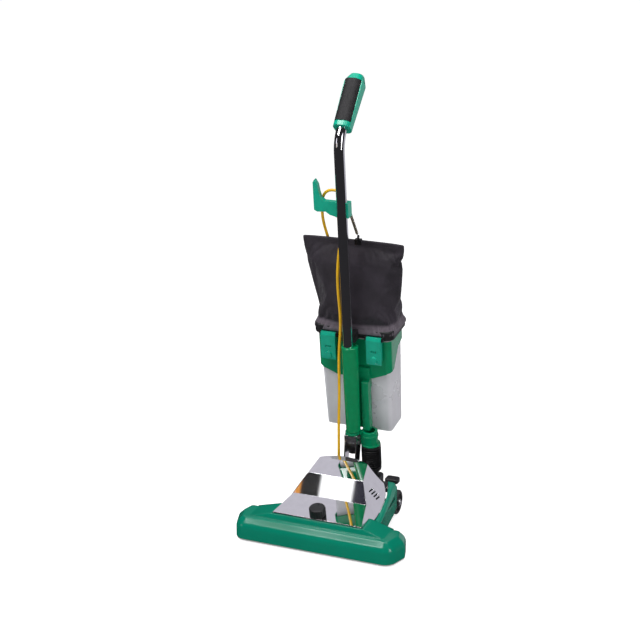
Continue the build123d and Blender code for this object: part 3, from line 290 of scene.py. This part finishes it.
def cord_piece(name, points):
    """Mesh tube along the line, and the points of the line that it follows."""
    curve = spline_curve(name + "_line", points)
    line = mesh_of_curve(name + "_line", curve)
    path = [v.co.copy() for v in line.vertices]
    bpy.data.meshes.remove(line)
    curve.bevel_depth = CORD_RADIUS
    curve.bevel_resolution = 4
    curve.use_fill_caps = True
    tube = mesh_of_curve(name + "_line", curve)
    tube.shade_smooth()
    return new_object(name, tube, material=MATERIALS["cord"]), path


# routes in millimetres: up the handle and over the hook, then down behind the bag to the coil
RISER = [
    (-26, 45, 150.4), (-26.2, 45, 190), (-26.5, 43, 250), (-25.5, 43.5, 320), (-26.5, 41.5, 385),
    (-26, 40, 440), (-22, 38, 486), (-20.5, 31, 535), (-21, 16, 590), (-20.5, 9, 645),
    (-17, 11.5, 700), (-6, 10, 750), (1.5, 8, 785), (1.5, 0.5, 842), (-60, 0.5, 842),
    (-60, 7.5, 795),
]
TAIL = [
    (-60, 7.52, 794.88), (-60, 10.6, 774), (-65, 36, 745), (-70, 72, 708), (-70, 110, 658),
    (-68, 148, 600), (-66, 178, 540), (-63, 188, 475), (-59, 191, 405), (-55, 199, 335),
    (-50, 213, 270), (-46, 212, 218), (-43, 186, 184), (-42, 162, 158), (-44, 154, 118),
    (-46.5, 157, 84), (-47, 166, 25.5),
]
COIL_CENTRE = Vector((-58, 222.5))
COIL_STEPS = 16
COIL_INNER, COIL_OUTER = 34.4, 77.6
COIL_PITCH = 7.1
LAYER_HEIGHTS = (17.9, 10.7, 3.55)
LAYER_PUSH = 1.4
PLUG_ANGLE, PLUG_REACH, PLUG_HEIGHT = 150, 97.5, 11
LEAD = [
    # share of the way round to the plug, radius, height
    (0.0, 78.5, 3.6), (0.2, 81, 3.7), (0.4, 85.5, 4.2), (0.6, 90.5, 6.2), (0.8, 95.5, 9.2),
]
# a quadratic spline runs inside its control polygon by this ratio
POLYGON_SHRINK = (6 + 2 * cos(2 * pi / COIL_STEPS)) / 8


def coil_point(angle, radius, height):
    """Point of the coil at an angle in degrees, drawn so that the smooth line has this radius."""
    reach = radius / POLYGON_SHRINK
    return (
        COIL_CENTRE.x + reach * cos(radians(angle)), COIL_CENTRE.y + reach * sin(radians(angle)), height,
    )


def coil_points():
    """Three flat layers, wound out, in and out again, and the lead to the plug."""
    points = [
        coil_point(-138, 53, 25.4), coil_point(-180, 44, 25.3), coil_point(-215, 37.5, 24.2),
        coil_point(-245, 34.4, 21.0),
    ]
    angle = -270.0
    step = 360 / COIL_STEPS
    half = COIL_STEPS // 2
    turns = (COIL_OUTER - COIL_INNER) / COIL_PITCH
    count = round(turns * COIL_STEPS)
    for layer, height in enumerate(LAYER_HEIGHTS):
        outward = layer % 2 == 0
        for index in range(count):
            share = index / (count - 1)
            radius = COIL_INNER + (COIL_OUTER - COIL_INNER) * (share if outward else 1 - share)
            points.append(coil_point(angle, radius, height))
            angle -= step
        if layer == len(LAYER_HEIGHTS) - 1:
            break
        below = LAYER_HEIGHTS[layer + 1]
        rim = COIL_OUTER if outward else COIL_INNER
        push = LAYER_PUSH if outward else -LAYER_PUSH
        for index in range(half):
            share = (index + 1) / (half + 1)
            radius = rim + push * sin(pi * share)
            points.append(coil_point(angle, radius, height + (below - height) * share))
            angle -= step
    goal = PLUG_ANGLE
    while goal > angle - 100:
        goal -= 360
    lead = goal - angle
    for share, radius, height in LEAD:
        points.append(coil_point(angle + lead * share, radius, height))
    turn = radians(PLUG_ANGLE)
    plug_x = COIL_CENTRE.x + PLUG_REACH * cos(turn)
    plug_y = COIL_CENTRE.y + PLUG_REACH * sin(turn)
    end = Vector((plug_x, plug_y, PLUG_HEIGHT))
    along = Vector((sin(turn), -cos(turn), 0))
    points.append(tuple(end - along * 14))
    points.append(tuple(end + along * 1))
    return points


def metres(points):
    """The same points in metres."""
    return [tuple(c / 1000 for c in point) for point in points]


riser, riser_path = cord_piece("cord_riser", metres(RISER))
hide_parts("power_cord_riser")
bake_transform(riser)

tail, tail_path = cord_piece("cord_tail", metres(TAIL + coil_points()))
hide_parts("power_cord_tail", "power_cord_coil")
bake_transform(tail)

# ------------------------------------------------------------------ cloth dust bag
AROUND, TALL = 150, 54
GATHER_FOOT, GATHER_FADE = 492, 60
RIPPLES, RIPPLE_DEPTH = 37, 0.018
PUFF_CAP = 0.012
PUFF_STEPS = 20
BAG_LEVELS = [
    # height, half width, half depth, centre depth (mm on the handle), corner exponent
    (479, 106, 59.5, 85.5, 0.34),
    (485, 107, 60.0, 85.5, 0.36),
    (492, 103, 57.0, 86, 0.40),
    (505, 100, 54, 86, 0.44),
    (540, 105, 47, 84, 0.50),
    (590, 115, 35, 78, 0.60),
    (640, 123, 21, 70, 0.75),
    (680, 128, 9, 63, 0.95),
    (700, 129, 3.2, 60.5, 1.0),
    (712.5, 129, 3.0, 60.5, 1.0),
]


def level_at(height):
    """Section sizes at a height, read between the listed levels."""
    for lower, upper in zip(BAG_LEVELS, BAG_LEVELS[1:]):
        if height <= upper[0]:
            share = (height - lower[0]) / (upper[0] - lower[0])
            return [a + (b - a) * share for a, b in zip(lower[1:], upper[1:])]
    return BAG_LEVELS[-1][1:]


def bag_mesh():
    """Closed sleeve of cloth from the frame ring to the top hem, gathered at its foot."""
    mesh = bpy.data.meshes.new("dust_bag_cloth")
    bm = bmesh.new()
    rings = []
    low, high = BAG_LEVELS[0][0], BAG_LEVELS[-1][0]
    for row in range(TALL + 1):
        height = low + (high - low) * row / TALL
        half, deep, centre, square = level_at(height)
        gather = max(0.0, 1 - (height - GATHER_FOOT) / GATHER_FADE) * min(1.0, (height - low + 6) / 10)
        ring = []
        for column in range(AROUND):
            angle = 2 * pi * column / AROUND
            c, s = cos(angle), sin(angle)
            x = half * (abs(c) ** square) * (1 if c >= 0 else -1)
            y = deep * (abs(s) ** square) * (1 if s >= 0 else -1)
            ripple = RIPPLE_DEPTH * gather * sin(angle * RIPPLES + 1.3 * sin(angle * 5))
            ring.append(bm.verts.new(on_handle(x * (1 - ripple), centre + y * (1 - ripple), height)))
        rings.append(ring)
    for lower, upper in zip(rings, rings[1:]):
        for column in range(AROUND):
            after = (column + 1) % AROUND
            bm.faces.new((lower[column], lower[after], upper[after], upper[column]))
    bm.faces.new(rings[-1])
    bmesh.ops.recalc_face_normals(bm, faces=bm.faces)
    bm.to_mesh(mesh)
    bm.free()
    return mesh


bag = new_object("dust_bag_cloth", bag_mesh(), replaced=["dust_bag"],
                 material=MATERIALS["cloth"])


def inflate(piece, cap, pinned):
    """Cloth simulation with inner pressure; how far a point may move is capped."""
    group = piece.vertex_groups.new(name="pins")
    start = [v.co.copy() for v in piece.data.vertices]
    for v in piece.data.vertices:
        group.add([v.index], pinned(v.co), "REPLACE")
    cloth = piece.modifiers.new("cloth", "CLOTH")
    settings = cloth.settings
    settings.use_pressure = True
    settings.uniform_pressure_force = 4
    settings.effector_weights.gravity = 0
    settings.vertex_group_mass = "pins"
    settings.quality = 6
    settings.tension_stiffness = 18
    settings.bending_stiffness = 0.4
    settings.shrink_min = -0.03
    cloth.collision_settings.use_collision = False
    for step in range(1, PUFF_STEPS + 1):
        scene.frame_set(step)
    graph = bpy.context.evaluated_depsgraph_get()
    puffed = bpy.data.meshes.new_from_object(piece.evaluated_get(graph))
    for v, puffed_v, origin in zip(piece.data.vertices, puffed.vertices, start):
        move = puffed_v.co - origin
        if move.length > cap:
            move *= cap / move.length
        v.co = origin + move
    piece.modifiers.remove(cloth)
    bpy.data.meshes.remove(puffed)
    scene.frame_set(1)


def handle_height(place):
    """How far up the handle a world point is, millimetres."""
    return (place - Vector((0, HANDLE_FOOT, 0))).dot(HANDLE_UP) * 1000


def bag_pins(place):
    """Cloth held fast over the frame ring and at the top hem."""
    height = handle_height(place)
    return 1.0 if height < 496 or height > 694 else 0.0


inflate(bag, PUFF_CAP, bag_pins)
smooth = bag.modifiers.new("smooth", "SUBSURF")
smooth.levels = 1
smooth.render_levels = 1
graph = bpy.context.evaluated_depsgraph_get()
fine_bag = bpy.data.meshes.new_from_object(bag.evaluated_get(graph))
bag.modifiers.clear()
bag.data = fine_bag
bag.data.shade_smooth()
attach(bag, "handle")


STITCH_PITCH = 0.0048
STITCH_HALF_WIDTH = 0.0004
STITCH_PROFILE = ((0, -0.0002), (0.0008, 0.0005), (0.0022, 0.0005), (0.0030, -0.0002))


def stitches(name, rows):
    """Short raised threads sewn in straight rows; a row is a start, an end and the outward side."""
    mesh = bpy.data.meshes.new(name)
    bm = bmesh.new()
    for start, end, outward in rows:
        run = end - start
        along = run.normalized()
        side = along.cross(outward).normalized() * STITCH_HALF_WIDTH
        count = int(run.length / STITCH_PITCH)
        for index in range(count):
            foot = start + along * (STITCH_PITCH * index)
            strip = []
            for reach, lift in STITCH_PROFILE:
                middle = foot + along * reach + outward * lift
                strip.append((bm.verts.new(middle - side), bm.verts.new(middle + side)))
            for (a, b), (c, d) in zip(strip, strip[1:]):
                bm.faces.new((a, b, d, c))
    bm.to_mesh(mesh)
    bm.free()
    return new_object(name, mesh, body="handle", material=MATERIALS["thread"])


HEM_DEPTH, HEM_HALF_THICKNESS = 60.5, 3.25
HEM_HALF_WIDTH, HEM_HEIGHT = 124, 702
front_of_hem, back_of_hem = HEM_DEPTH - HEM_HALF_THICKNESS, HEM_DEPTH + HEM_HALF_THICKNESS


def hem_row(depth, side, outward):
    """A row of stitches across the hem, from one side to the other."""
    start = on_handle(-side * HEM_HALF_WIDTH, depth, HEM_HEIGHT)
    end = on_handle(side * HEM_HALF_WIDTH, depth, HEM_HEIGHT)
    return start, end, outward


stitches("hem_stitching", [
    hem_row(front_of_hem, 1, -HANDLE_BACK),
    hem_row(back_of_hem, -1, HANDLE_BACK),
])

# ------------------------------------------------------------------ coil spring that holds the bag up
SPRING_LEG = 0.006
SPRING_STEPS = 10


def coil_spring(name, start, end, radius, wire, pitch):
    """Close-wound spring between two points, with a straight hook leg at each end."""
    axis = (end - start).normalized()
    across = axis.cross(Vector((1, 0, 0))).normalized()
    beside = axis.cross(across)
    length = (end - start).length
    turns = (length - 2 * SPRING_LEG) / pitch
    steps = int(turns * SPRING_STEPS)
    leg = axis * SPRING_LEG * 0.8
    places = [start, start + leg]
    for index in range(steps + 1):
        angle = 2 * pi * index / SPRING_STEPS
        rise = SPRING_LEG + pitch * index / SPRING_STEPS
        places.append(start + axis * rise + across * (radius * cos(angle)) + beside * (radius * sin(angle)))
    places += [end - leg, end]
    curve = bpy.data.curves.new(name + "_line", "CURVE")
    curve.dimensions = "3D"
    line = curve.splines.new("POLY")
    line.points.add(len(places) - 1)
    for point, place in zip(line.points, places):
        point.co = (*place, 1)
    curve.bevel_depth = wire
    curve.bevel_resolution = 2
    curve.use_fill_caps = True
    mesh = mesh_of_curve(name + "_line", curve)
    mesh.shade_smooth()
    return new_object(name, mesh, body="handle", replaced=["bag_spring"],
                      material=MATERIALS["spring"])


clip_eye = on_handle(14, HEM_DEPTH, 719)
hook_eye = on_handle(10.5, 22.6, 797)
spring_foot = clip_eye + (hook_eye - clip_eye).normalized() * 0.0058
coil_spring("bag_spring_coil", spring_foot, hook_eye, radius=0.0030, wire=0.0007, pitch=0.0019)

# ------------------------------------------------------------------ floor and lights
# the floor glows more towards the camera, so that it reads white without lighting the object
floor_material = shade("floor", (0.62, 0.62, 0.62), rough=0.9, mottle=0.008, scale=2, bump=0.0)
floor_glow = floor_material.node_tree.nodes["Principled BSDF"]
floor_glow.inputs["Emission Color"].default_value = (1, 1, 1, 1)
floor_tree = floor_material.node_tree
floor_rays = floor_tree.nodes.new("ShaderNodeLightPath")
floor_level = add_node(floor_tree, "ShaderNodeMapRange", To_Min=0.20, To_Max=0.80)
floor_tree.links.new(floor_rays.outputs["Is Camera Ray"], floor_level.inputs["Value"])
floor_tree.links.new(floor_level.outputs["Result"], floor_glow.inputs["Emission Strength"])
floor_glow.inputs["Specular IOR Level"].default_value = 0.0


def stage_plane(name, size, height, material):
    """Square of floor that belongs to the stage, not to the object."""
    mesh = bpy.data.meshes.new(name)
    corners = [(-size, -size, height), (size, -size, height), (size, size, height), (-size, size, height)]
    mesh.from_pydata(corners, [], [(0, 1, 2, 3)])
    made = bpy.data.objects.new(name, mesh)
    scene.collection.objects.link(made)
    made.data.materials.append(material)
    return made


wide_floor = stage_plane("floor_wide", 60, -0.0006, floor_material)
wide_floor.visible_glossy = False
near_floor = stage_plane("floor_near", 0.42, -0.0003, floor_material)
near_floor.visible_glossy = False


def area_light(name, place, aim, width, depth, power):
    """Rectangular soft light turned towards a point."""
    data = bpy.data.lights.new(name, "AREA")
    data.shape = "RECTANGLE"
    data.size, data.size_y = width, depth
    data.energy = power
    lamp = bpy.data.objects.new(name, data)
    scene.collection.objects.link(lamp)
    lamp.location = place
    lamp.rotation_euler = (Vector(aim) - Vector(place)).to_track_quat("-Z", "Y").to_euler()
    return lamp


area_light("key", (-0.9, -1.4, 2.6), (0, 0, 0.3), 1.0, 1.0, 26)
area_light("top_strip", (0.1, -0.5, 2.5), (0, -0.1, 0.2), 2.2, 0.35, 26)
area_light("fill", (2.4, -1.0, 1.2), (0, 0, 0.5), 0.4, 1.6, 9)
rim = area_light("rim", (-1.6, 1.8, 1.9), (0, 0, 0.6), 0.8, 1.4, 14)
rim.visible_glossy = False

SOFT_BOXES = [
    # direction, cosine where its edge starts and where it is full, brightness
    ((-0.35, 0.50, 0.80), 0.86, 0.96, 0.60),
    ((0.90, -0.35, 0.25), 0.965, 0.98, 1.1),
    ((-0.75, -0.62, 0.20), 0.988, 0.993, 1.5),
    ((0.52, 0.85, -0.05), 0.86, 0.95, 0.55),
]
STUDIO_DARK = 0.025
AMBIENT = 0.36


def background(tree, color, strength):
    """Background shader of one colour and strength."""
    node = tree.nodes.new("ShaderNodeBackground")
    node.inputs["Color"].default_value = color
    node.inputs["Strength"].default_value = strength
    return node


def soft_box(tree, place, aim, start, end, level):
    """Brightness of one soft-edged round patch of the studio."""
    dot = tree.nodes.new("ShaderNodeVectorMath")
    dot.operation = "DOT_PRODUCT"
    dot.inputs[1].default_value = Vector(aim).normalized()
    tree.links.new(place.outputs["Generated"], dot.inputs[0])
    patch = add_node(tree, "ShaderNodeMapRange", From_Min=start, From_Max=end, To_Max=level)
    patch.interpolation_type = "SMOOTHSTEP"
    tree.links.new(dot.outputs["Value"], patch.inputs["Value"])
    return patch.outputs["Result"]


def studio():
    """White to the camera, dim for diffuse light, a dark room with soft boxes in reflections."""
    world = bpy.data.worlds.new("studio")
    scene.world = world
    world.use_nodes = True
    tree = world.node_tree
    link = tree.links.new
    tree.nodes.remove(tree.nodes["Background"])
    shown = background(tree, (0.96, 0.96, 0.97, 1), 1.0)
    ambient = background(tree, (0.95, 0.97, 1.0, 1), AMBIENT)
    mirrored = background(tree, (0.93, 0.90, 1.0, 1), 1.0)
    rays = tree.nodes.new("ShaderNodeLightPath")
    place = tree.nodes.new("ShaderNodeTexCoord")
    patches = [soft_box(tree, place, *row) for row in SOFT_BOXES]
    total = patches[0]
    for patch in patches[1:]:
        total = math_node(tree, "ADD", total, patch)
    link(math_node(tree, "ADD", total, STUDIO_DARK), mirrored.inputs["Strength"])
    seen = tree.nodes.new("ShaderNodeMixShader")
    link(rays.outputs["Is Camera Ray"], seen.inputs["Fac"])
    link(ambient.outputs[0], seen.inputs[1])
    link(shown.outputs[0], seen.inputs[2])
    either = tree.nodes.new("ShaderNodeMixShader")
    link(rays.outputs["Is Glossy Ray"], either.inputs["Fac"])
    link(seen.outputs[0], either.inputs[1])
    link(mirrored.outputs[0], either.inputs[2])
    link(either.outputs[0], tree.nodes["World Output"].inputs["Surface"])


studio()

CARD_HALF_WIDTH, CARD_HALF_HEIGHT, CARD_AWAY = 0.22, 0.12, 1.1
CARD_GLOW = 1.35
MIDDLE_FACET = Vector((0, -0.063, 0.1175))
MIDDLE_FACET_NORMAL = Vector((0, -0.749, 0.663)).normalized()
CARD_STRIPES = [
    # share across the card, colour
    (0.17, (0.5, 0.5, 0.5, 1)), (0.18, (0.62, 0.26, 0.05, 1)), (0.27, (0.55, 0.22, 0.04, 1)),
    (0.28, (0.01, 0.01, 0.01, 1)), (0.40, (0.01, 0.01, 0.01, 1)), (0.42, (1.0, 1.0, 1.0, 1)),
    (0.64, (1.0, 1.0, 1.0, 1)), (0.66, (0.012, 0.01, 0.02, 1)), (0.9, (0.012, 0.01, 0.02, 1)),
]


def reflector_card():
    """Lit card mirrored in the hood's middle facet: white window on black with a warm edge."""
    material = bpy.data.materials.new("card")
    material.use_nodes = True
    tree = material.node_tree
    link = tree.links.new
    tree.nodes.remove(tree.nodes["Principled BSDF"])
    glow = tree.nodes.new("ShaderNodeEmission")
    link(glow.outputs[0], tree.nodes["Material Output"].inputs["Surface"])
    place = tree.nodes.new("ShaderNodeTexCoord")
    split = tree.nodes.new("ShaderNodeSeparateXYZ")
    link(place.outputs["Object"], split.inputs["Vector"])
    ramp = tree.nodes.new("ShaderNodeValToRGB")
    stretch = add_node(tree, "ShaderNodeMapRange", From_Min=-CARD_HALF_WIDTH, From_Max=CARD_HALF_WIDTH)
    link(split.outputs["X"], stretch.inputs["Value"])
    link(stretch.outputs["Result"], ramp.inputs["Fac"])
    elements = ramp.color_ramp.elements
    elements[0].position, elements[0].color = 0.0, (0.5, 0.5, 0.5, 1)
    elements[1].position, elements[1].color = 1.0, (0.2, 0.2, 0.22, 1)
    for position, color in CARD_STRIPES:
        element = elements.new(position)
        element.color = color
    link(ramp.outputs["Color"], glow.inputs["Color"])
    glow.inputs["Strength"].default_value = CARD_GLOW
    sight = (MIDDLE_FACET - EYE).normalized()
    away = sight - 2 * sight.dot(MIDDLE_FACET_NORMAL) * MIDDLE_FACET_NORMAL
    mesh = bpy.data.meshes.new("card")
    wide, high = CARD_HALF_WIDTH, CARD_HALF_HEIGHT
    corners = [(-wide, -high, 0), (wide, -high, 0), (wide, high, 0), (-wide, high, 0)]
    mesh.from_pydata(corners, [], [(0, 1, 2, 3)])
    card = bpy.data.objects.new("card", mesh)
    scene.collection.objects.link(card)
    across = Vector((1, 0, 0))
    across = (across - across.dot(away) * away).normalized()
    facing = Matrix((across, (-away).cross(across), -away)).transposed().to_4x4()
    card.matrix_world = Matrix.Translation(MIDDLE_FACET + away * CARD_AWAY) @ facing
    card.data.materials.append(material)
    for flag in ("visible_camera", "visible_diffuse", "visible_shadow", "visible_transmission"):
        setattr(card, flag, False)


reflector_card()
